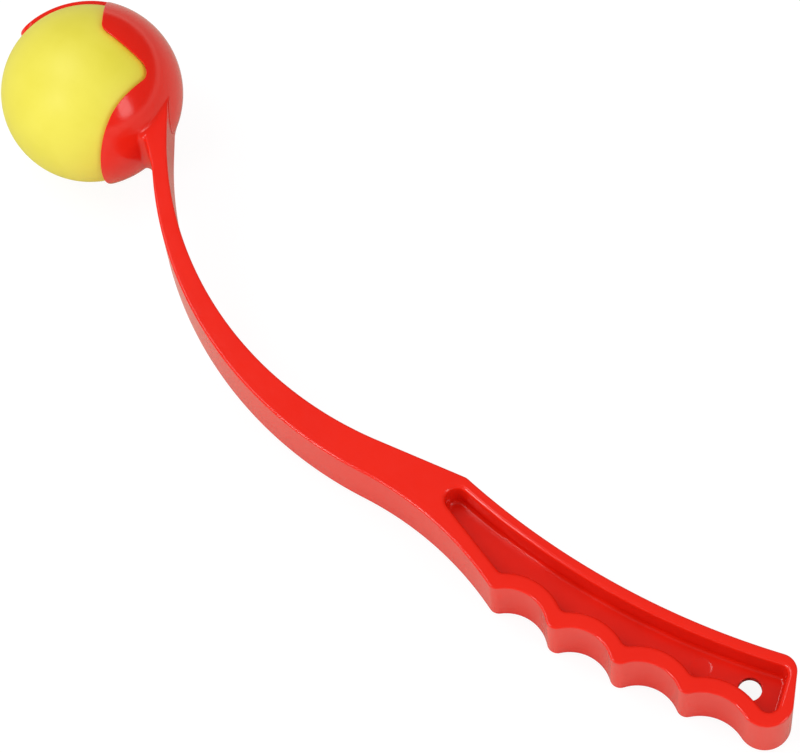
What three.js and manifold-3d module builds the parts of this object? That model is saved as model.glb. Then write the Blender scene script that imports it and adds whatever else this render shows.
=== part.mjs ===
// A dog ball thrower: one moulded launcher that holds a smooth sponge-rubber ball in a snap cup.
// Millimetres, +Z up. The launcher is drawn flat in its swing plane, with the middle of the ball at
// the origin and the finger grooves' row along X, and is then turned to lie as it rests on a table.
import * as THREE from 'three';
import { mergeVertices } from 'three/addons/utils/BufferGeometryUtils.js';
import Module from 'manifold-3d';

// Ball and cup
const ballRadius = 31.75;
const ballClearance = 0.1;
const cupWall = 1.5;
const cupInner = ballRadius + ballClearance;
const cupOuter = cupInner + cupWall;

// Directions in the swing plane, in degrees from the row of finger grooves
const mouthAngle = 208.5;
const armAngle = -56;
const fingerTipAngle = 170;

// The blade: arm and grip, one thickness all along
const bladeWidth = 25;
const edgeRound = 0.8;
const armBackRadius = 131.8;
const armBackRise = 3.6;
const armSink = 2.2;
const armRootDepth = 4.8;
const armGripDepth = 14.8;
const armThinAngle = 194;
const armRun = 46.2;
const armFlareRadius = 40;
const armFlareAngle = 216.5;
const armRootRound = 1.6;
const backRootAngle = 201.3;
const backRootGap = 1.9;
const bellyRootAngle = 208.6;
const bellyRootGap = 0.8;

// Grip: row of finger peaks on a shallow bow, hollow palm edge, rounded butt. Its middle is measured from
// the hump where palm and arm meet, its butt from the last peak, and rises from the lowest of the bow.
const peakCount = 4;
const peakPitch = 24.8;
const peakRound = 3.6;
const grooveRadius = 14.2;
const lastGrooveRadius = 16;
const gripMiddleRun = 64.4;
const gripBowRadius = 267;
const gripBowDrop = 96.1;
const heelRadius = 120;
const palmRadius = 274.4;
const gripDepth = 24.8;
const humpRound = 4.2;
const buttTopRound = 6;
const buttTopSetback = 1.7;
const buttLowRound = 9;
const buttPitch = 25.3;
const buttRise = 4.8;

// Side pockets of the grip, the web between them and the hang hole through it
const webThickness = 3;
const fingerRail = 5.8;
const heelRail = 5.5;
const palmRail = 4;
const buttRail = 2.6;
const lowButtRail = 4.8;
const pocketFloorRound = 1.2;
const pocketPeakRound = 2;
const pocketCornerRound = 2.8;
const pocketLowRound = 3.2;
const pocketEndRound = 4;
const pocketEndSetback = 1.5;
const hangHoleDiameter = 8;
const hangHoleSetback = 8.3;
const hangHoleRise = 18.1;

// Rim of the cup, as shares of its outer radius: first along the mouth's axis, then towards the arm
const rimSetbackShare = 0.208;
const rimSlantShare = 0.07;
const shoulderAcrossShare = -0.38;
const shoulderRoundShare = 0.143;
const notchShares = [-0.554, 0.113];
const notchRoundShare = 0.145;
const lipShares = [-1.731, 1.412];
const lipRoundShare = 1.584;
const fingerTipRound = 5;
const roomShare = 1.6;
const roomCornerShare = 0.05;

// Where one moulding is divided into its zones
const armRootShare = 1.12;
const gripStartSetback = 10;

const arcTolerance = 0.03;
const weldDistance = 0.0001;
const cutOverrun = 2;
const cutReach = 400;
const edgeSteps = 3;
const holeSides = 48;
const ballSides = 48;
const ballRings = 32;

const launcherRed = new THREE.MeshStandardMaterial({ color: '#e3271a', roughness: 0.22, metalness: 0 });
const ballYellow = new THREE.MeshStandardMaterial({ color: '#e2d84a', roughness: 0.75, metalness: 0 });

const wasm = await Module();
wasm.setup();

function direction(degrees) {
  const angle = THREE.MathUtils.degToRad(degrees);
  return new THREE.Vector2(Math.cos(angle), Math.sin(angle));
}

// A circle that an outline runs round. Turn 1 keeps the circle inside the outline, -1 outside it.
function circle(x, y, radius, turn) {
  return { centre: new THREE.Vector2(x, y), radius, turn };
}

function offset(ring, growth) {
  return { ...ring, radius: ring.radius + growth };
}

// The circle of a given radius that touches two others from outside, to the right of the line joining them
function nestled(first, second, radius, turn) {
  const across = second.centre.clone().sub(first.centre);
  const apart = across.length();
  const near = first.radius + radius;
  const far = second.radius + radius;
  const along = (near * near - far * far + apart * apart) / (2 * apart);
  const aside = Math.sqrt(Math.max(near * near - along * along, 0));
  across.normalize();
  const right = new THREE.Vector2(across.y, -across.x).multiplyScalar(-turn);
  const centre = first.centre.clone().addScaledVector(across, along).addScaledVector(right, aside);
  return { centre, radius, turn };
}

// The circle that stands off another one, on a given heading from its centre
function beside(ring, degrees, gap, radius, turn) {
  const centre = ring.centre.clone().addScaledVector(direction(degrees), ring.radius + gap + radius);
  return { centre, radius, turn };
}

// The circle that touches another one's underside with its centre at a given x
function hanging(ring, x, radius) {
  const reach = ring.radius + radius;
  const y = ring.centre.y - Math.sqrt(reach * reach - (x - ring.centre.x) ** 2);
  return circle(x, y, radius, 1);
}

// An outline as a belt drawn anticlockwise round circles, straight between them
function belt(rings) {
  const headings = rings.map((ring, i) => {
    const next = rings[(i + 1) % rings.length];
    const across = next.centre.clone().sub(ring.centre);
    const slack = (ring.turn * ring.radius - next.turn * next.radius) / across.length();
    return across.angle() + Math.asin(THREE.MathUtils.clamp(slack, -1, 1));
  });
  const points = [];
  rings.forEach((ring, i) => {
    const before = headings[(i + rings.length - 1) % rings.length];
    const bend = ring.turn * (headings[i] - before);
    const sweep = Math.max(0, Math.atan2(Math.sin(bend), Math.cos(bend)));
    const step = 2 * Math.acos(1 - arcTolerance / ring.radius);
    const steps = Math.max(1, Math.ceil(sweep / step));
    for (let k = 0; k <= steps; k++) {
      const normal = before + ring.turn * (sweep * k / steps - Math.PI / 2);
      const spoke = new THREE.Vector2(Math.cos(normal), Math.sin(normal)).multiplyScalar(ring.radius);
      const point = ring.centre.clone().add(spoke);
      const last = points[points.length - 1];
      if (!last || point.distanceTo(last) > arcTolerance) points.push(point);
    }
  });
  if (points[0].distanceTo(points[points.length - 1]) < arcTolerance) points.pop();
  return points;
}

function toSolid(geometry) {
  const bare = geometry.index ? geometry.toNonIndexed() : geometry.clone();
  bare.deleteAttribute('normal');
  bare.deleteAttribute('uv');
  const merged = mergeVertices(bare, weldDistance);
  const mesh = new wasm.Mesh({
    numProp: 3,
    vertProperties: Float32Array.from(merged.attributes.position.array),
    triVerts: Uint32Array.from(merged.index.array),
  });
  return new wasm.Manifold(mesh);
}

function toGeometry(solid) {
  const mesh = solid.getMesh();
  const geometry = new THREE.BufferGeometry();
  const positions = new Float32Array(mesh.numVert * 3);
  for (let i = 0; i < mesh.numVert; i++) {
    for (let axis = 0; axis < 3; axis++) {
      positions[3 * i + axis] = mesh.vertProperties[mesh.numProp * i + axis];
    }
  }
  geometry.setAttribute('position', new THREE.BufferAttribute(positions, 3));
  geometry.setIndex(new THREE.BufferAttribute(Uint32Array.from(mesh.triVerts), 1));
  geometry.computeVertexNormals();
  return geometry;
}

// A plate of the given outline, thickness and edge rounding, centred on the height z
function plate(points, thickness, round, z) {
  const geometry = new THREE.ExtrudeGeometry(new THREE.Shape(points), {
    depth: thickness - 2 * round,
    bevelEnabled: round > 0,
    bevelThickness: round,
    bevelSize: round,
    bevelOffset: -round,
    bevelSegments: edgeSteps,
  });
  geometry.translate(0, 0, z - thickness / 2 + round);
  return toSolid(geometry);
}

function sphere(radius) {
  const geometry = new THREE.SphereGeometry(radius, ballSides, ballRings);
  geometry.rotateX(Math.PI / 2);
  return toSolid(geometry);
}

// Everything on the far side of the plane that stands at a distance from the origin, square to a heading
function beyond(degrees, distance) {
  const geometry = new THREE.BoxGeometry(cutReach, 2 * cutReach, 2 * cutReach);
  geometry.translate(distance + cutReach / 2, 0, 0);
  geometry.rotateZ(THREE.MathUtils.degToRad(degrees));
  return toSolid(geometry);
}

// Arm: its back is an arc that sinks a little into the cup, and its belly is a wider arc, set off so that
// the arm is thinnest towards the cup
const backReach = armBackRadius + cupOuter - armSink;
const palmDrop = gripBowDrop - gripDepth;
const backY = armBackRadius + armBackRise - palmDrop;
const back = circle(Math.sqrt(backReach * backReach - backY * backY), backY, armBackRadius, -1);
const belly = offset(back, armGripDepth);
belly.turn = 1;
belly.centre = back.centre.clone().addScaledVector(direction(armThinAngle), armRootDepth - armGripDepth);

// Grip: the finger peaks stand on a bow, and each groove nestles between two of them
const gripStart = back.centre.x + armRun;
const gripMiddle = gripStart + gripMiddleRun;
const palm = circle(gripMiddle, palmRadius - palmDrop, palmRadius, -1);
const hump = hanging(palm, gripStart, humpRound);
const peaks = [];
for (let i = 0; i < peakCount; i++) {
  const swing = (i - (peakCount - 1) / 2) * peakPitch / gripBowRadius;
  const reach = gripBowRadius - peakRound;
  const x = gripMiddle + reach * Math.sin(swing);
  const y = gripBowRadius - gripBowDrop - reach * Math.cos(swing);
  peaks.push(circle(x, y, peakRound, 1));
}
const buttX = peaks[peakCount - 1].centre.x + buttPitch;
const buttLow = circle(buttX, buttRise + buttLowRound - gripBowDrop, buttLowRound, 1);
const buttTop = hanging(palm, buttX - buttTopSetback, buttTopRound);
const heel = nestled(belly, peaks[0], heelRadius, -1);
const knuckles = [...peaks, buttLow];
const grooves = peaks.map((peak, i) => {
  const radius = i === peakCount - 1 ? lastGrooveRadius : grooveRadius;
  return nestled(peak, knuckles[i + 1], radius, -1);
});

function bladeOutline() {
  const flare = beside(belly, armFlareAngle, 0, armFlareRadius, -1);
  const fingers = peaks.flatMap((peak, i) => [peak, grooves[i]]);
  return belt([
    beside(back, backRootAngle, backRootGap, armRootRound, 1),
    beside(belly, bellyRootAngle, bellyRootGap, armRootRound, 1),
    flare,
    belly,
    heel,
    ...fingers,
    buttLow,
    buttTop,
    palm,
    hump,
    back,
  ]);
}

// The pocket follows the outline inside an even rail, and comes to a blunt point behind each peak
function pocketOutline() {
  const top = offset(palm, palmRail);
  const rail = [offset(heel, heelRail), ...grooves.map((groove) => offset(groove, fingerRail))];
  const points = rail.slice(1).map((groove, i) => nestled(rail[i], groove, pocketPeakRound, 1));
  const waves = points.flatMap((point, i) => [point, rail[i + 1]]);
  const cornerX = buttTop.centre.x + buttTopRound - buttRail - pocketCornerRound;
  const lowX = buttX + buttLowRound - lowButtRail - pocketLowRound;
  const lowY = buttRise + fingerRail + pocketLowRound - gripBowDrop;
  return belt([
    hanging(top, gripStart + pocketEndSetback, pocketEndRound),
    ...waves,
    circle(lowX, lowY, pocketLowRound, 1),
    hanging(top, cornerX, pocketCornerRound),
    top,
  ]);
}

function blade() {
  const body = plate(bladeOutline(), bladeWidth, edgeRound, 0);
  const depth = (bladeWidth - webThickness) / 2 + cutOverrun;
  const lift = (webThickness + depth) / 2;
  const near = plate(pocketOutline(), depth, pocketFloorRound, lift);
  const far = plate(pocketOutline(), depth, pocketFloorRound, -lift);
  const hole = new THREE.CylinderGeometry(hangHoleDiameter / 2, hangHoleDiameter / 2, bladeWidth, holeSides);
  hole.rotateX(Math.PI / 2);
  hole.translate(buttX - hangHoleSetback, hangHoleRise - gripBowDrop, 0);
  return body.subtract(near).subtract(far).subtract(toSolid(hole));
}

// A place on the mouth's side of the cup, from shares of its outer radius along the mouth and to the arm
function mouthPlace(alongShare, armShare) {
  const along = direction(mouthAngle).multiplyScalar(alongShare * cupOuter);
  return along.addScaledVector(direction(mouthAngle + 90), armShare * cupOuter);
}

function mouthCircle(alongShare, armShare, roundShare, turn) {
  const place = mouthPlace(alongShare, armShare);
  return circle(place.x, place.y, roundShare * cupOuter, turn);
}

// All that is open in front of the rim: straight at the tip side, a notch at each cheek, a long lower lip
function mouthOutline() {
  const rim = -rimSetbackShare;
  return belt([
    mouthCircle(roomShare, -roomShare, roomCornerShare, 1),
    mouthCircle(roomShare, roomShare, roomCornerShare, 1),
    mouthCircle(0, roomShare, roomCornerShare, 1),
    mouthCircle(...lipShares, lipRoundShare, -1),
    mouthCircle(...notchShares, notchRoundShare, 1),
    mouthCircle(rim - shoulderRoundShare, shoulderAcrossShare, shoulderRoundShare, -1),
    mouthCircle(rim + rimSlantShare + roomCornerShare, -roomShare, roomCornerShare, 1),
  ]);
}

// A strip of the same sphere as the cup, which runs from the rim over the ball to a round end
function fingerStrip() {
  const rootAngle = mouthAngle - THREE.MathUtils.radToDeg(Math.acos(-rimSetbackShare));
  const middle = (rootAngle + fingerTipAngle) / 2;
  const half = cupOuter * Math.sin(THREE.MathUtils.degToRad((fingerTipAngle - rootAngle) / 2));
  const edge = bladeWidth / 2 - fingerTipRound;
  const template = belt([
    circle(-half - cutOverrun, -edge, fingerTipRound, 1),
    circle(half - fingerTipRound, -edge, fingerTipRound, 1),
    circle(half - fingerTipRound, edge, fingerTipRound, 1),
    circle(-half - cutOverrun, edge, fingerTipRound, 1),
  ]);
  const geometry = new THREE.ExtrudeGeometry(new THREE.Shape(template), {
    depth: 2 * cupOuter,
    bevelEnabled: false,
  });
  const out = direction(middle);
  const turn = new THREE.Matrix4().makeBasis(
    new THREE.Vector3(-out.y, out.x, 0),
    new THREE.Vector3(0, 0, 1),
    new THREE.Vector3(out.x, out.y, 0),
  );
  geometry.applyMatrix4(turn);
  const strip = sphere(cupOuter).subtract(sphere(cupInner)).intersect(toSolid(geometry));
  return strip.intersect(mouthRoom);
}

function subPart(name, solid, material) {
  const mesh = new THREE.Mesh(toGeometry(solid), material);
  mesh.name = name;
  return mesh;
}

// The moulding, divided into its zones by flat planes
const mouthRoom = plate(mouthOutline(), cutReach, 0, 0);
const cup = sphere(cupOuter).subtract(mouthRoom);
const moulding = blade().add(cup).subtract(sphere(cupInner));
const pastCup = beyond(armAngle, armRootShare * cupOuter);
const pastArm = beyond(0, gripStart - gripStartSetback);

const launcher = new THREE.Group();
launcher.add(subPart('grip_handle', moulding.intersect(pastArm), launcherRed));
launcher.add(subPart('throwing_arm', moulding.intersect(pastCup).subtract(pastArm), launcherRed));
launcher.add(subPart('ball_cup', moulding.subtract(pastCup), launcherRed));
launcher.add(subPart('retaining_finger', fingerStrip(), launcherRed));
launcher.add(subPart('ball', sphere(ballRadius), ballYellow));

// At rest the thrower lies on its ball and on the edge of the two middle finger peaks
const edgeDrop = peakRound - edgeRound - peaks[1].centre.y;
const edgeSide = bladeWidth / 2 - edgeRound;
const edgeRise = Math.asin((ballRadius - edgeRound) / Math.hypot(edgeDrop, edgeSide));
const restTilt = edgeRise - Math.atan2(edgeSide, edgeDrop);

const resting = new THREE.Group();
resting.add(launcher);
launcher.rotation.x = restTilt;
resting.updateMatrixWorld(true);
const box = new THREE.Box3().setFromObject(resting, true);
const middle = box.getCenter(new THREE.Vector3());
resting.position.set(-middle.x, -middle.y, -box.min.z);

export default resting;
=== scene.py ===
from collections import namedtuple
from math import acos, asin, atan2, ceil, cos, hypot, pi, radians, sin, sqrt

import bmesh
import bpy
from mathutils import Matrix, Vector
from mathutils.kdtree import KDTree


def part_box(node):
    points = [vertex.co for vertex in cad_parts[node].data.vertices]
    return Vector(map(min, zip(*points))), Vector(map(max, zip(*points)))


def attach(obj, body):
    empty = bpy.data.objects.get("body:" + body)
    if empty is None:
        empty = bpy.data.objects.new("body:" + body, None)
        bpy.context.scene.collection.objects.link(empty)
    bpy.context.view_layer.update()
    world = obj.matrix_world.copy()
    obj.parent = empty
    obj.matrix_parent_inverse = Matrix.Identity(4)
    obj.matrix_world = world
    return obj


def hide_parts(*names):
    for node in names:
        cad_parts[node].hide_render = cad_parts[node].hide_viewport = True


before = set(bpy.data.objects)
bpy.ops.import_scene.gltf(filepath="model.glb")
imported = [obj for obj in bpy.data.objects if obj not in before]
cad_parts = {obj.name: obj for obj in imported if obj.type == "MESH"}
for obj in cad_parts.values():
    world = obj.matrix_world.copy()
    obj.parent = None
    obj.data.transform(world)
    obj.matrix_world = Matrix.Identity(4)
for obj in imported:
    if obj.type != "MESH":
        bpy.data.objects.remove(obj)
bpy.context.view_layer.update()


# The blade: the launcher's arm and grip, one bar of glossy red plastic moulded in one shot with the cup.
# Pockets from both sides lighten the grip and leave a web between them, with the hole it hangs by. Sizes
# are in millimetres in the swing plane, from the middle of the ball, with the finger peaks along x.

ball_radius = 31.75
ball_clearance = 0.1
cup_wall = 1.5
cup_inner = ball_radius + ball_clearance
cup_outer = cup_inner + cup_wall

blade_width = 25
edge_round = 0.8

# The arm: its back and its belly are two arcs, which part towards the grip
arm_back_radius = 131.8
arm_back_rise = 3.6
arm_sink = 2.2
arm_root_depth = 4.8
arm_grip_depth = 14.8
arm_thin_angle = 194
arm_run = 46.2
arm_flare_radius = 40
arm_flare_angle = 216.5
arm_root_round = 1.6
back_root_angle = 201.3
back_root_gap = 1.9
belly_root_angle = 208.6
belly_root_gap = 0.8

# The grip: finger peaks and grooves along a shallow bow, then the butt, the palm hollow and the hump
peak_count = 4
peak_pitch = 24.8
peak_round = 3.6
groove_radius = 14.2
last_groove_radius = 16
grip_middle_run = 64.4
grip_bow_radius = 267
grip_bow_drop = 96.1
heel_radius = 120
palm_radius = 274.4
grip_depth = 24.8
hump_round = 4.2
butt_top_round = 6
butt_top_setback = 1.7
butt_low_round = 9
butt_pitch = 25.3
butt_rise = 4.8

# The pockets: the rails left round them, and the web left between them
web_thickness = 3
finger_rail = 5.8
heel_rail = 5.5
palm_rail = 4
butt_rail = 2.6
low_butt_rail = 4.8
pocket_edge_round = 1.5
pocket_draft = 0.25
pocket_floor_round = 1.4
pocket_peak_round = 3.2
pocket_corner_round = 3.3
pocket_low_round = 3.5
pocket_end_round = 4
pocket_end_setback = 1.5

# How finely curves are drawn, and how close two points may come before they are made one
arc_step = radians(5)
arc_chord = 2.5
edge_steps = 5
weld = 0.02

# A round that an outline runs over. Turn 1 keeps it inside the outline, and -1 outside.
Ring = namedtuple("Ring", "centre radius turn")


def heading(angle):
    return Vector((cos(angle), sin(angle)))


def grown(ring, growth):
    return ring._replace(radius=ring.radius + growth)


# The ring that touches two others from outside
def nestled(first, second, radius, turn):
    across = second.centre - first.centre
    near = first.radius + radius
    far = second.radius + radius
    along = (near ** 2 - far ** 2 + across.length_squared) / (2 * across.length)
    aside = sqrt(max(near ** 2 - along ** 2, 0))
    ahead = across.normalized()
    right = Vector((ahead.y, -ahead.x)) * -turn
    return Ring(first.centre + ahead * along + right * aside, radius, turn)


# The ring that stands off another one, on a given heading from its centre
def beside(ring, angle, gap, radius, turn):
    return Ring(ring.centre + heading(radians(angle)) * (ring.radius + gap + radius), radius, turn)


# The ring that touches another one's underside with its centre at a given x
def hanging(ring, x, radius):
    drop = sqrt((ring.radius + radius) ** 2 - (x - ring.centre.x) ** 2)
    return Ring(Vector((x, ring.centre.y - drop)), radius, 1)


# Which way the straight edge from one ring to the next runs
def course(ring, following):
    across = following.centre - ring.centre
    slack = (ring.turn * ring.radius - following.turn * following.radius) / across.length
    return atan2(across.y, across.x) + asin(max(-1, min(1, slack)))


# Draws a closed outline anticlockwise: an arc spun round each ring, and a straight edge to the next
def draw_outline(bm, rings, height, growth=0):
    rings = [grown(ring, ring.turn * growth) for ring in rings]
    leaving = [course(ring, following) for ring, following in zip(rings, rings[1:] + rings[:1])]
    older = set(bm.verts)
    ends = []
    for i, ring in enumerate(rings):
        bend = ring.turn * (leaving[i] - leaving[i - 1])
        sweep = max(0, atan2(sin(bend), cos(bend)))
        start = ring.centre + heading(leaving[i - 1] - ring.turn * pi / 2) * ring.radius
        first = bm.verts.new((*start, height))
        steps = max(1, ceil(sweep / arc_step), ceil(sweep * ring.radius / arc_chord))
        spun = bmesh.ops.spin(bm, geom=[first], cent=(*ring.centre, height), axis=(0, 0, ring.turn),
                              angle=sweep, steps=steps)
        last = next(item for item in spun["geom_last"] if isinstance(item, bmesh.types.BMVert))
        ends.append((first, last))
    for i, (first, _) in enumerate(ends):
        bm.edges.new((ends[i - 1][1], first))
    bmesh.ops.remove_doubles(bm, verts=[v for v in bm.verts if v not in older], dist=weld)
    return [edge for edge in bm.edges if edge.verts[0] not in older]


# One flat face inside a closed outline, facing up
def fill_outline(bm, edges):
    face = bmesh.ops.edgeloop_fill(bm, edges=edges)["faces"][0]
    face.normal_update()
    if face.normal.z < 0:
        face.normal_flip()
    return face


def step_in(bm, face, inward, upward):
    bmesh.ops.inset_region(bm, faces=[face], use_boundary=True, use_even_offset=True,
                           thickness=inward, depth=upward)


# Rounds over the rim of a face. It starts along the wall below the face, or flat along the face itself.
def roll_in(bm, face, radius, upward, flat_first=False):
    for k in range(edge_steps):
        before = pi / 2 * k / edge_steps
        after = pi / 2 * (k + 1) / edge_steps
        gentle = cos(before) - cos(after)
        steep = sin(after) - sin(before)
        if flat_first:
            step_in(bm, face, steep * radius, gentle * radius * upward)
        else:
            step_in(bm, face, gentle * radius, steep * radius * upward)


# Takes away a face and gives back the edges round it
def open_face(bm, face):
    edges = list(face.edges)
    bmesh.ops.delete(bm, geom=[face], context="FACES_ONLY")
    return edges


# The outline of the blade, ring by ring
back_reach = arm_back_radius + cup_outer - arm_sink
palm_drop = grip_bow_drop - grip_depth
back_y = arm_back_radius + arm_back_rise - palm_drop
back = Ring(Vector((sqrt(back_reach ** 2 - back_y ** 2), back_y)), arm_back_radius, -1)
belly_shift = heading(radians(arm_thin_angle)) * (arm_root_depth - arm_grip_depth)
belly = Ring(back.centre + belly_shift, arm_back_radius + arm_grip_depth, 1)
back_root = beside(back, back_root_angle, back_root_gap, arm_root_round, 1)
belly_root = beside(belly, belly_root_angle, belly_root_gap, arm_root_round, 1)
flare = beside(belly, arm_flare_angle, 0, arm_flare_radius, -1)

grip_start = back.centre.x + arm_run
grip_middle = grip_start + grip_middle_run
palm = Ring(Vector((grip_middle, palm_radius - palm_drop)), palm_radius, -1)
hump = hanging(palm, grip_start, hump_round)
peaks = []
for i in range(peak_count):
    swing = (i - (peak_count - 1) / 2) * peak_pitch / grip_bow_radius
    reach = grip_bow_radius - peak_round
    peak_x = grip_middle + reach * sin(swing)
    peak_y = grip_bow_radius - grip_bow_drop - reach * cos(swing)
    peaks.append(Ring(Vector((peak_x, peak_y)), peak_round, 1))
butt_x = peaks[-1].centre.x + butt_pitch
butt_low = Ring(Vector((butt_x, butt_rise + butt_low_round - grip_bow_drop)), butt_low_round, 1)
butt_top = hanging(palm, butt_x - butt_top_setback, butt_top_round)
heel = nestled(belly, peaks[0], heel_radius, -1)
groove_radii = [groove_radius] * (peak_count - 1) + [last_groove_radius]
grooves = [nestled(peak, following, radius, -1)
           for peak, following, radius in zip(peaks, peaks[1:] + [butt_low], groove_radii)]
fingers = [ring for pair in zip(peaks, grooves) for ring in pair]
blade_rings = [back_root, belly_root, flare, belly, heel, *fingers, butt_low, butt_top, palm, hump, back]

# The outline of a pocket, which keeps to the rails inside the same rings
pocket_top = grown(palm, palm_rail)
pocket_low = [grown(heel, heel_rail)] + [grown(groove, finger_rail) for groove in grooves]
pocket_peaks = [nestled(before, after, pocket_peak_round, 1)
                for before, after in zip(pocket_low, pocket_low[1:])]
pocket_waves = [ring for pair in zip(pocket_peaks, pocket_low[1:]) for ring in pair]
corner_x = butt_top.centre.x + butt_top_round - butt_rail - pocket_corner_round
low_x = butt_x + butt_low_round - low_butt_rail - pocket_low_round
low_y = butt_rise + finger_rail + pocket_low_round - grip_bow_drop
pocket_rings = [
    hanging(pocket_top, grip_start + pocket_end_setback, pocket_end_round),
    *pocket_waves,
    Ring(Vector((low_x, low_y)), pocket_low_round, 1),
    hanging(pocket_top, corner_x, pocket_corner_round),
    pocket_top,
]

# Half of the blade, from its middle plane up: the outer wall and its rounded edge
half_width = blade_width / 2
blade = bmesh.new()
outline = draw_outline(blade, blade_rings, half_width - edge_round)
wall = bmesh.ops.extrude_edge_only(blade, edges=outline)["geom"]
wall_foot = [item for item in wall if isinstance(item, bmesh.types.BMVert)]
bmesh.ops.translate(blade, verts=wall_foot, vec=(0, 0, edge_round - half_width))
cheek = fill_outline(blade, outline)
roll_in(blade, cheek, edge_round, 1)

# The pocket, down to the web
cheek_edges = open_face(blade, cheek)
pocket_edges = draw_outline(blade, pocket_rings, half_width, pocket_edge_round)
bmesh.ops.triangle_fill(blade, use_beauty=True, edges=cheek_edges + pocket_edges, normal=(0, 0, 1))
floor = fill_outline(blade, pocket_edges)
roll_in(blade, floor, pocket_edge_round, -1, flat_first=True)
wall_drop = half_width - web_thickness / 2 - pocket_edge_round - pocket_floor_round
step_in(blade, floor, pocket_draft, -wall_drop)
roll_in(blade, floor, pocket_floor_round, -1)

# The other half is its mirror image
bmesh.ops.mirror(blade, geom=blade.verts[:] + blade.edges[:] + blade.faces[:], matrix=Matrix(),
                 merge_dist=weld, axis="Z")
bmesh.ops.recalc_face_normals(blade, faces=blade.faces[:])


def piece(name, bm):
    mesh = bpy.data.meshes.new(name)
    bm.to_mesh(mesh)
    bm.free()
    made = bpy.data.objects.new(name, mesh)
    bpy.context.scene.collection.objects.link(made)
    return made


# The same mesh with its points and faces in a fixed order, which a join or a cut doesn't leave them in
def in_fixed_order(mesh):
    points = [v.co[:] for v in mesh.vertices]
    order = sorted(range(len(points)), key=points.__getitem__)
    rank = {old: new for new, old in enumerate(order)}
    faces = []
    for polygon in mesh.polygons:
        corners = [rank[i] for i in polygon.vertices]
        start = corners.index(min(corners))
        faces.append(corners[start:] + corners[:start])
    ordered = bpy.data.meshes.new(mesh.name)
    ordered.from_pydata([points[i] for i in order], [], sorted(faces))
    return ordered


# Joins a second shape to the first, or cuts it away, and drops the second
def combine(first, second, operation):
    boolean = first.modifiers.new(operation.lower(), "BOOLEAN")
    boolean.operation = operation
    boolean.solver = "EXACT"
    boolean.object = second
    bpy.context.view_layer.update()
    evaluated = first.evaluated_get(bpy.context.evaluated_depsgraph_get())
    mesh = bpy.data.meshes.new_from_object(evaluated)
    first.modifiers.clear()
    first.data = in_fixed_order(mesh)
    bpy.data.objects.remove(second)


# A solid raised from one flat face
def raised(name, bm, face, height, matrix=Matrix()):
    top = bmesh.ops.extrude_face_region(bm, geom=[face])["geom"]
    rising = [item for item in top if isinstance(item, bmesh.types.BMVert)]
    bmesh.ops.translate(bm, verts=rising, vec=(0, 0, height))
    bmesh.ops.transform(bm, matrix=matrix, verts=bm.verts[:])
    bmesh.ops.recalc_face_normals(bm, faces=bm.faces[:])
    return piece(name, bm)


# The hang hole through the web, and the shallow round dimples beside it that the moulding leaves
hang_hole_radius = 4
hang_hole_round = 0.4
hang_hole_steps = 2
hang_hole_setback = 8.3
hang_hole_rise = 18.1
hang_hole_sides = 64
gate_mark_radius = 3.75
gate_mark_depth = 0.45
gate_mark_lift = 0.1
gate_mark_divisions = 5
gate_mark_setback = 25.8
gate_mark_rise = 16.4

launcher = piece("launcher", blade)
hole_middle = Vector((butt_x - hang_hole_setback, hang_hole_rise - grip_bow_drop))
drill = bmesh.new()
disc = bmesh.ops.create_circle(drill, cap_ends=True, segments=hang_hole_sides, radius=hang_hole_radius,
                               matrix=Matrix.Translation((*hole_middle, -half_width)))
hole = raised("hole", drill, disc["verts"][0].link_faces[0], blade_width)
combine(launcher, hole, "DIFFERENCE")
for facing in (1, -1):
    dimple = bmesh.new()
    mark_height = facing * (web_thickness / 2 + gate_mark_lift)
    mark_middle = (butt_x - gate_mark_setback, gate_mark_rise - grip_bow_drop, mark_height)
    flattened = Matrix.Diagonal((gate_mark_radius, gate_mark_radius, gate_mark_depth, 1))
    bmesh.ops.create_icosphere(dimple, subdivisions=gate_mark_divisions, radius=1,
                               matrix=Matrix.Translation(mark_middle) @ flattened)
    combine(launcher, piece("dimple", dimple), "DIFFERENCE")


def on_hole_edge(v):
    off_edge = (v.co.xy - hole_middle).length - hang_hole_radius
    off_web = abs(v.co.z) - web_thickness / 2
    return max(abs(off_edge), abs(off_web)) < weld


drilled = bmesh.new()
drilled.from_mesh(launcher.data)
hole_edges = [edge for edge in drilled.edges if all(map(on_hole_edge, edge.verts))]
bmesh.ops.bevel(drilled, geom=hole_edges, affect="EDGES", offset=hang_hole_round,
                segments=hang_hole_steps, profile=0.5, material=-1)
drilled.to_mesh(launcher.data)
drilled.free()


# The cup: a thin sphere shell, moulded with the arm, that grips a bit more than half of the ball. Its
# rim runs straight across the tip side, steps back in a notch at each cheek, and swings out again into
# a long lower lip. The shares are of the cup's outer radius, along the mouth's axis and towards the arm.

mouth_angle = 208.5
rim_setback_share = 0.208
rim_slant_share = 0.07
shoulder_across_share = -0.38
shoulder_round_share = 0.143
notch_shares = (-0.554, 0.113)
notch_round_share = 0.145
lip_shares = (-1.731, 1.412)
lip_round_share = 1.584
room_share = 1.6
room_corner_share = 0.05
room_depth_share = 4
sphere_sides = 144
sphere_rings = 73


def ball_shape(name, radius):
    bm = bmesh.new()
    bmesh.ops.create_uvsphere(bm, u_segments=sphere_sides, v_segments=sphere_rings, radius=radius)
    return piece(name, bm)


# A closed bar with the given outline, set upright on z = foot
def bar(name, rings, foot, height, matrix=Matrix()):
    bm = bmesh.new()
    face = fill_outline(bm, draw_outline(bm, rings, foot))
    return raised(name, bm, face, height, matrix)


def mouth_ring(along_share, arm_share, round_share, turn):
    along = heading(radians(mouth_angle)) * along_share
    across = heading(radians(mouth_angle) + pi / 2) * arm_share
    return Ring((along + across) * cup_outer, round_share * cup_outer, turn)


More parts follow.
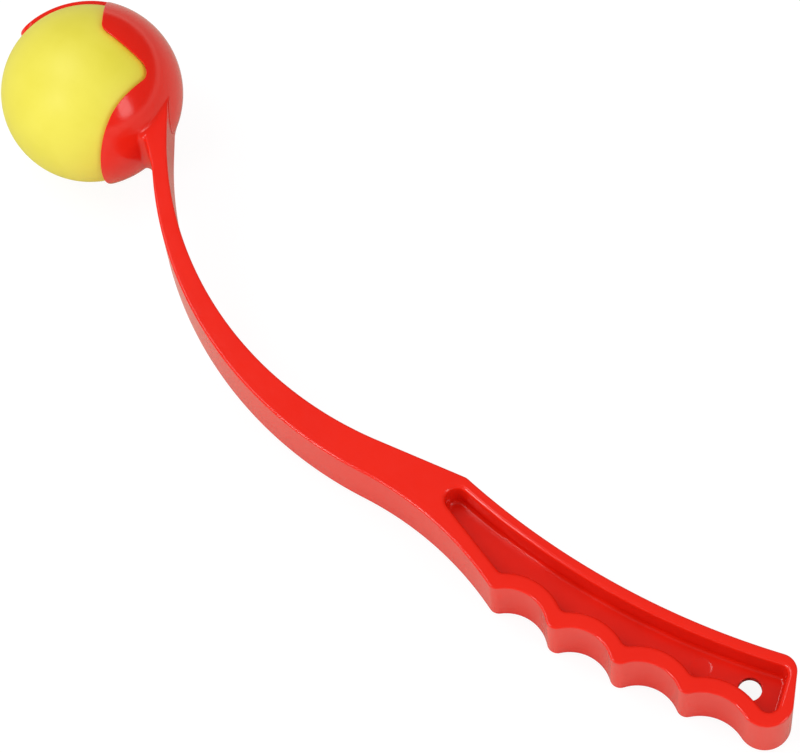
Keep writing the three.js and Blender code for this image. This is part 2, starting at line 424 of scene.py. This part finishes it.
# The room in front of the cup's rim, where the shell is cut away
room_rings = [
    mouth_ring(room_share, -room_share, room_corner_share, 1),
    mouth_ring(room_share, room_share, room_corner_share, 1),
    mouth_ring(0, room_share, room_corner_share, 1),
    mouth_ring(*lip_shares, lip_round_share, -1),
    mouth_ring(*notch_shares, notch_round_share, 1),
    mouth_ring(-rim_setback_share - shoulder_round_share, shoulder_across_share,
               shoulder_round_share, -1),
    mouth_ring(room_corner_share + rim_slant_share - rim_setback_share, -room_share,
               room_corner_share, 1),
]
room_depth = room_depth_share * cup_outer
room = bar("room", room_rings, -room_depth / 2, room_depth)


# The joint of arm and cup: a hollow round all about the arm's root, where the mould was rounded for
# strength. It is the trace of a ball that rolls round the arm and touches the cup all the way, and it
# is sunk a hair into both, so that they join.

joint_round = 2.4
joint_steps = 8
joint_sink = 0.012
joint_bed = 0.4
joint_spacing = 0.8
joint_reach = 6

# Where that ball touches the arm's back in the swing plane, and how back and belly run from there
cup_ring = Ring(Vector((0, 0)), cup_outer, 1)
hollow_back = Ring(back.centre, -back.radius, 1)
back_ball = nestled(cup_ring, hollow_back, joint_round, -1)
back_out = (back.centre - back_ball.centre).normalized()
back_foot = back.centre - back_out * back.radius
back_run = Vector((back_out.y, -back_out.x))
belly_course = course(belly_root, flare)
belly_run = heading(belly_course)
belly_out = heading(belly_course - pi / 2)
arm_depth = belly_out.dot(belly_root.centre - back_foot) + arm_root_round
belly_foot = back_foot + belly_out * arm_depth

# The arm's section, with points close together all round it
edge_side = half_width - edge_round
edge_depth = arm_depth - edge_round
joint_corners = ((edge_depth, -edge_side), (edge_depth, edge_side), (edge_round, edge_side),
                 (edge_round, -edge_side))
joint = bmesh.new()
for edge in draw_outline(joint, [Ring(Vector(corner), edge_round, 1) for corner in joint_corners], 0):
    cuts = int(edge.calc_length() / joint_spacing)
    if cuts:
        bmesh.ops.subdivide_edges(joint, edges=[edge], cuts=cuts)

# The middle of the ball as it passes each point of the section, and the arm's outward heading there
rolling = {}
for v in joint.verts:
    across = min(max(v.co.x, edge_round), edge_depth)
    upward = min(max(v.co.y, -edge_side), edge_side)
    lean = (v.co.xy - Vector((across, upward))) / edge_round
    to_belly = (across - edge_round) / (edge_depth - edge_round)
    run = back_run.lerp(belly_run, to_belly).normalized()
    out = Vector((run.y * lean.x, -run.x * lean.x, lean.y))
    from_back = back_foot - back_out * v.co.x
    from_belly = belly_foot - belly_out * (arm_depth - v.co.x)
    middle = Vector((*from_back.lerp(from_belly, to_belly), v.co.y)) + out * (joint_round - joint_sink)
    run = run.to_3d()
    reach = cup_outer + joint_round - joint_sink
    slope = middle.dot(run)
    middle += run * (sqrt(slope ** 2 - middle.length_squared + reach ** 2) - slope)
    rolling[v] = (middle, out)
    v.co = middle - out * (joint_round + joint_bed)


# A further ring of points round the joint, each moved to where the given rule puts it
def roll_on(edges, rule):
    before = {v for edge in edges for v in edge.verts}
    made = bmesh.ops.extrude_edge_only(joint, edges=edges)["geom"]
    for v in made:
        if isinstance(v, bmesh.types.BMVert):
            rolling[v] = next(rolling[edge.other_vert(v)] for edge in v.link_edges
                              if edge.other_vert(v) in before)
            v.co = rule(*rolling[v])
    return [item for item in made if isinstance(item, bmesh.types.BMEdge)]


# The points of some edges, each once and in a fixed order
def ends_of(edges):
    return list(dict.fromkeys(v for edge in edges for v in edge.verts))


def close_at(edges, place):
    last = ends_of(roll_on(edges, lambda middle, out: middle))
    bmesh.ops.pointmerge(joint, verts=last, merge_co=place)


ring = joint.edges[:]
inside = sum((v.co for v in joint.verts), Vector()) / len(joint.verts)
close_at(ring, inside + belly_run.to_3d() * joint_reach)
for k in range(joint_steps + 1):
    ring = roll_on(ring, lambda middle, out: middle + joint_round * (-out).slerp(
        -middle.normalized(), k / joint_steps))
close_at(ring, Vector())
bmesh.ops.recalc_face_normals(joint, faces=joint.faces[:])


# The retaining finger: a strip of the same shell, which runs on from the rim over the ball to a rounded
# end past its widest part. It springs aside to let the ball through, and is moulded with the cup.

finger_tip_angle = 170
finger_tip_round = 5
finger_root_overrun = 2
finger_bar_share = 2

finger_root = radians(mouth_angle) - acos(-rim_setback_share)
finger_tip = radians(finger_tip_angle)
half_length = cup_outer * sin((finger_tip - finger_root) / 2)
finger_end = half_length - finger_tip_round
finger_start = -half_length - finger_root_overrun
finger_side = half_width - finger_tip_round
finger_corners = ((finger_start, -finger_side), (finger_end, -finger_side), (finger_end, finger_side),
                  (finger_start, finger_side))
finger_rings = [Ring(Vector(corner), finger_tip_round, 1) for corner in finger_corners]
outward = heading((finger_root + finger_tip) / 2).to_3d()
along = Vector((-outward.y, outward.x, 0))
upright = Matrix((along, (0, 0, 1), outward)).transposed().to_4x4()
finger = bar("finger", finger_rings, 0, finger_bar_share * cup_outer, upright)
combine(room, finger, "DIFFERENCE")

# The whole moulding: blade, joint and shell in one, and hollow where the ball sits
shell = ball_shape("shell", cup_outer)
combine(shell, room, "DIFFERENCE")
combine(launcher, piece("joint", joint), "UNION")
combine(launcher, shell, "UNION")
combine(launcher, ball_shape("hollow", cup_inner), "DIFFERENCE")


# The rim of the cup and finger, which has no sharp edge. The shell's own points that stand closer to it
# than its rounding are first drawn onto it.

rim_round = 0.4
rim_steps = 3
rim_angle = radians(40)
rim_spacing = 0.35
rim_clearance = 0.9

moulding = bmesh.new()
moulding.from_mesh(launcher.data)
bmesh.ops.remove_doubles(moulding, verts=moulding.verts[:], dist=weld)


def on_shell(v):
    return min(abs(v.co.length - cup_outer), abs(v.co.length - cup_inner)) < weld


def rim_edges():
    return [edge for edge in moulding.edges
            if edge.is_manifold and edge.calc_face_angle_signed(0) > rim_angle
            and all(map(on_shell, edge.verts))]


bmesh.ops.remove_doubles(moulding, verts=ends_of(rim_edges()), dist=rim_spacing)
rim_points = ends_of(rim_edges())
finder = KDTree(len(rim_points))
for i, v in enumerate(rim_points):
    finder.insert(v.co, i)
finder.balance()
on_rim = set(rim_points)
drawn = {}
for v in moulding.verts:
    if v not in on_rim and on_shell(v):
        _, i, distance = finder.find(v.co)
        if distance < rim_clearance and abs(v.co.length - rim_points[i].co.length) < weld:
            drawn[v] = rim_points[i]
bmesh.ops.weld_verts(moulding, targetmap=drawn)
bmesh.ops.bevel(moulding, geom=rim_edges(), affect="EDGES", offset=rim_round, segments=rim_steps,
                profile=0.5, material=-1, clamp_overlap=False)
moulding.to_mesh(launcher.data)
moulding.free()


# The launcher as it lies: on the ball and on the lower edges of the two middle finger peaks. Its plastic
# is glossy, with a faint drift in its red and a faint ripple in its gloss. Sizes that are new from here
# on are in metres.

millimetre = 0.001
flat_face_weight = 80

red_shades = ((229, 29, 14), (234, 34, 17))
red_spread = (0.3, 0.7)
red_cloud_scale = 28
red_cloud_detail = 3
ripple_scale = 260
ripple_detail = 2
ripple_strength = 0.06
ripple_height = 0.0003
smooth_roughness = 0.13
ripple_roughness = 0.2

edge_drop = peak_round - edge_round - peaks[1].centre.y
ball_lift = asin((ball_radius - edge_round) / hypot(edge_drop, edge_side))
rest_tilt = ball_lift - atan2(edge_side, edge_drop)
lowest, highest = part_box("ball")
ball_centre = (lowest + highest) / 2
lay_down = (Matrix.Translation(ball_centre) @ Matrix.Rotation(rest_tilt, 4, "X")
            @ Matrix.Scale(millimetre, 4))
launcher.data.transform(lay_down)
launcher.data.shade_smooth()
shading = launcher.modifiers.new("even shading", "WEIGHTED_NORMAL")
shading.weight = flat_face_weight


# A colour from its usual 0 to 255 values, by the curve that screens use
def paint(red, green, blue):
    parts = (value / 255 for value in (red, green, blue))
    return (*((p / 12.92) if p < 0.04045 else ((p + 0.055) / 1.055) ** 2.4 for p in parts), 1)


def add(tree, kind, **inputs):
    node = tree.nodes.new(kind)
    for name, value in inputs.items():
        node.inputs[name.replace("_", " ")].default_value = value
    return node


# A cloudy pattern that stays where it is on the piece
def clouds(tree, scale, detail):
    position = add(tree, "ShaderNodeTexCoord")
    pattern = add(tree, "ShaderNodeTexNoise", Scale=scale, Detail=detail)
    tree.links.new(position.outputs["Object"], pattern.inputs["Vector"])
    return pattern.outputs["Fac"]


# Lets the surface's colour drift between two shades with a pattern
def tint(tree, pattern, shades, spread):
    ramp = tree.nodes.new("ShaderNodeValToRGB")
    for element, shade, place in zip(ramp.color_ramp.elements, shades, spread):
        element.position = place
        element.color = paint(*shade)
    tree.links.new(pattern, ramp.inputs["Fac"])
    tree.links.new(ramp.outputs["Color"], tree.nodes["Principled BSDF"].inputs["Base Color"])


# Lets the surface rise and fall with a pattern
def emboss(tree, pattern, strength, height):
    relief = add(tree, "ShaderNodeBump", Strength=strength, Distance=height)
    tree.links.new(pattern, relief.inputs["Height"])
    tree.links.new(relief.outputs["Normal"], tree.nodes["Principled BSDF"].inputs["Normal"])


plastic = bpy.data.materials.new("glossy_red_plastic")
plastic.use_nodes = True
tree = plastic.node_tree
tint(tree, clouds(tree, red_cloud_scale, red_cloud_detail), red_shades, red_spread)
ripple = clouds(tree, ripple_scale, ripple_detail)
emboss(tree, ripple, ripple_strength, ripple_height)
gloss = add(tree, "ShaderNodeMapRange", To_Min=smooth_roughness, To_Max=ripple_roughness)
tree.links.new(ripple, gloss.inputs["Value"])
tree.links.new(gloss.outputs["Result"], tree.nodes["Principled BSDF"].inputs["Roughness"])
launcher.data.materials.clear()
launcher.data.materials.append(plastic)

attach(launcher, "launcher")
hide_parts("grip_handle", "throwing_arm", "ball_cup", "retaining_finger")


# The ball: smooth sponge rubber, moulded in one piece, with a fine dull skin. It snaps into the cup and
# is held by the cup's wall and the finger alone.

ball_divisions = 6

yellow_shades = ((225, 213, 60), (231, 220, 74))
yellow_spread = (0.35, 0.65)
yellow_cloud_scale = 40
yellow_cloud_detail = 4
skin_scale = 1800
skin_detail = 3
skin_strength = 0.15
skin_height = 0.0002
skin_roughness = 0.45

ball_mesh = bmesh.new()
bmesh.ops.create_icosphere(ball_mesh, subdivisions=ball_divisions, radius=ball_radius)
bmesh.ops.transform(ball_mesh, matrix=lay_down, verts=ball_mesh.verts[:])
ball = piece("foam_ball", ball_mesh)
ball.data.shade_smooth()

rubber = bpy.data.materials.new("yellow_sponge_rubber")
rubber.use_nodes = True
tree = rubber.node_tree
tree.nodes["Principled BSDF"].inputs["Roughness"].default_value = skin_roughness
tint(tree, clouds(tree, yellow_cloud_scale, yellow_cloud_detail), yellow_shades, yellow_spread)
emboss(tree, clouds(tree, skin_scale, skin_detail), skin_strength, skin_height)
ball.data.materials.append(rubber)

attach(ball, "ball")
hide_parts("ball")


# The table that the thrower lies on: plain and white, with only a faint shadow. The plastic mirrors it
# a little greyer than it is, so that the low walls of the moulding stay red.

table_reach = 3
table_white = (0.9, 0.9, 0.9, 1)
table_mirrored = (0.6, 0.59, 0.5, 1)
table_roughness = 0.9
table_glow = 1.06
table_glow_share = 0.85

pure_white = (1, 1, 1, 1)

# The colour sockets of a mix node, which share their names with its other sockets
mix_share = 0
mix_first = 6
mix_second = 7
mix_result = 2

table_mesh = bmesh.new()
bmesh.ops.create_grid(table_mesh, x_segments=1, y_segments=1, size=table_reach)
table = piece("table", table_mesh)
white = bpy.data.materials.new("white_table")
white.use_nodes = True
tree = white.node_tree
surface = tree.nodes["Principled BSDF"]
surface.inputs["Roughness"].default_value = table_roughness
seen = tree.nodes.new("ShaderNodeLightPath")
whites = tree.nodes.new("ShaderNodeMix")
whites.data_type = "RGBA"
whites.inputs[mix_first].default_value = table_white
whites.inputs[mix_second].default_value = table_mirrored
tree.links.new(seen.outputs["Is Glossy Ray"], whites.inputs[mix_share])
tree.links.new(whites.outputs[mix_result], surface.inputs["Base Color"])


# Mixes one shader into another by the given share, from 0 to 1
def blend(tree, share, first, second):
    mix = tree.nodes.new("ShaderNodeMixShader")
    tree.links.new(share, mix.inputs["Fac"])
    tree.links.new(first, mix.inputs[1])
    tree.links.new(second, mix.inputs[2])
    return mix.outputs["Shader"]


glow = add(tree, "ShaderNodeEmission", Color=pure_white, Strength=table_glow)
glow_share = add(tree, "ShaderNodeMapRange", To_Max=table_glow_share)
tree.links.new(seen.outputs["Is Camera Ray"], glow_share.inputs["Value"])
shown = blend(tree, glow_share.outputs["Result"], surface.outputs["BSDF"], glow.outputs["Emission"])
tree.links.new(shown, tree.nodes["Material Output"].inputs["Surface"])
table.data.materials.append(white)


# Studio light: a tall soft window low on the right, a large soft lamp high on the left and a small one
# in front, in an even white room. The plastic mirrors the room as dark above a bright horizon.

# How bright the room is on the camera's side and on the far side, as it lights the thrower
near_level = 0.84
far_level = 0.56

# How bright the room is in the plastic's mirror, as pairs of a height, from 0 at the horizon to 1
# overhead, and the level there
mirrored_levels = ((0, 0.85), (0.08, 0.85), (0.13, 0.08), (0.6, 0.08), (1, 0.12))
mirrored_tint = (1, 0.98, 0.85)


def soft_lamp(name, towards, distance, width, height, power):
    data = bpy.data.lights.new(name, "AREA")
    data.shape = "RECTANGLE"
    data.size = width
    data.size_y = height
    data.energy = power
    lamp = bpy.data.objects.new(name, data)
    lamp.location = Vector(towards).normalized() * distance
    lamp.rotation_euler = Vector(towards).to_track_quat("Z", "Y").to_euler()
    bpy.context.scene.collection.objects.link(lamp)


soft_lamp("window", towards=(0.863, -0.149, 0.484), distance=1.4, width=0.42, height=0.8, power=3.4)
soft_lamp("main_lamp", towards=(-0.479, -0.262, 0.832), distance=1.3, width=0.65, height=0.65, power=4)
soft_lamp("front_lamp", towards=(-0.36, -0.8, 0.48), distance=1.4, width=0.3, height=0.3, power=3.6)

world = bpy.data.worlds.new("white_room")
bpy.context.scene.world = world
world.use_nodes = True
tree = world.node_tree
look = tree.nodes.new("ShaderNodeTexCoord")
split = tree.nodes.new("ShaderNodeSeparateXYZ")
tree.links.new(look.outputs["Generated"], split.inputs["Vector"])

softness = add(tree, "ShaderNodeMapRange", From_Min=-1, From_Max=1, To_Min=near_level, To_Max=far_level)
tree.links.new(split.outputs["Y"], softness.inputs["Value"])
room_light = tree.nodes["Background"]
room_light.inputs["Strength"].default_value = 1
tree.links.new(softness.outputs["Result"], room_light.inputs["Color"])

walls = tree.nodes.new("ShaderNodeValToRGB")
while len(walls.color_ramp.elements) < len(mirrored_levels):
    walls.color_ramp.elements.new(1)
for element, (height, level) in zip(walls.color_ramp.elements, mirrored_levels):
    element.position = height
    element.color = (*(level * part for part in mirrored_tint), 1)
tree.links.new(split.outputs["Z"], walls.inputs["Fac"])
mirror_light = add(tree, "ShaderNodeBackground", Strength=1)
tree.links.new(walls.outputs["Color"], mirror_light.inputs["Color"])

backdrop = add(tree, "ShaderNodeBackground", Color=pure_white, Strength=1)
seen = tree.nodes.new("ShaderNodeLightPath")
lit = blend(tree, seen.outputs["Is Glossy Ray"], room_light.outputs["Background"],
            mirror_light.outputs["Background"])
shown = blend(tree, seen.outputs["Is Camera Ray"], lit, backdrop.outputs["Background"])
tree.links.new(shown, tree.nodes["World Output"].inputs["Surface"])


# The camera looks down on the thrower from the finger side, with the ball at the upper left.

camera_aim = Vector((-0.0024, 0.0075, 0))
camera_distance = 1.3775
camera_azimuth = radians(26.8)
camera_elevation = radians(56.1)
camera_roll = radians(5.5)
camera_film_width = 36
camera_lens = 175.8

camera_data = bpy.data.cameras.new("camera")
camera_data.sensor_width = camera_film_width
camera_data.lens = camera_lens
camera = bpy.data.objects.new("camera", camera_data)
camera_turn = (Matrix.Rotation(camera_azimuth, 4, "Z")
               @ Matrix.Rotation(pi / 2 - camera_elevation, 4, "X")
               @ Matrix.Rotation(camera_roll, 4, "Z"))
camera.matrix_world = (Matrix.Translation(camera_aim) @ camera_turn
                       @ Matrix.Translation((0, 0, camera_distance)))
bpy.context.scene.collection.objects.link(camera)
bpy.context.scene.camera = camera

bpy.context.scene.view_settings.view_transform = "Standard"
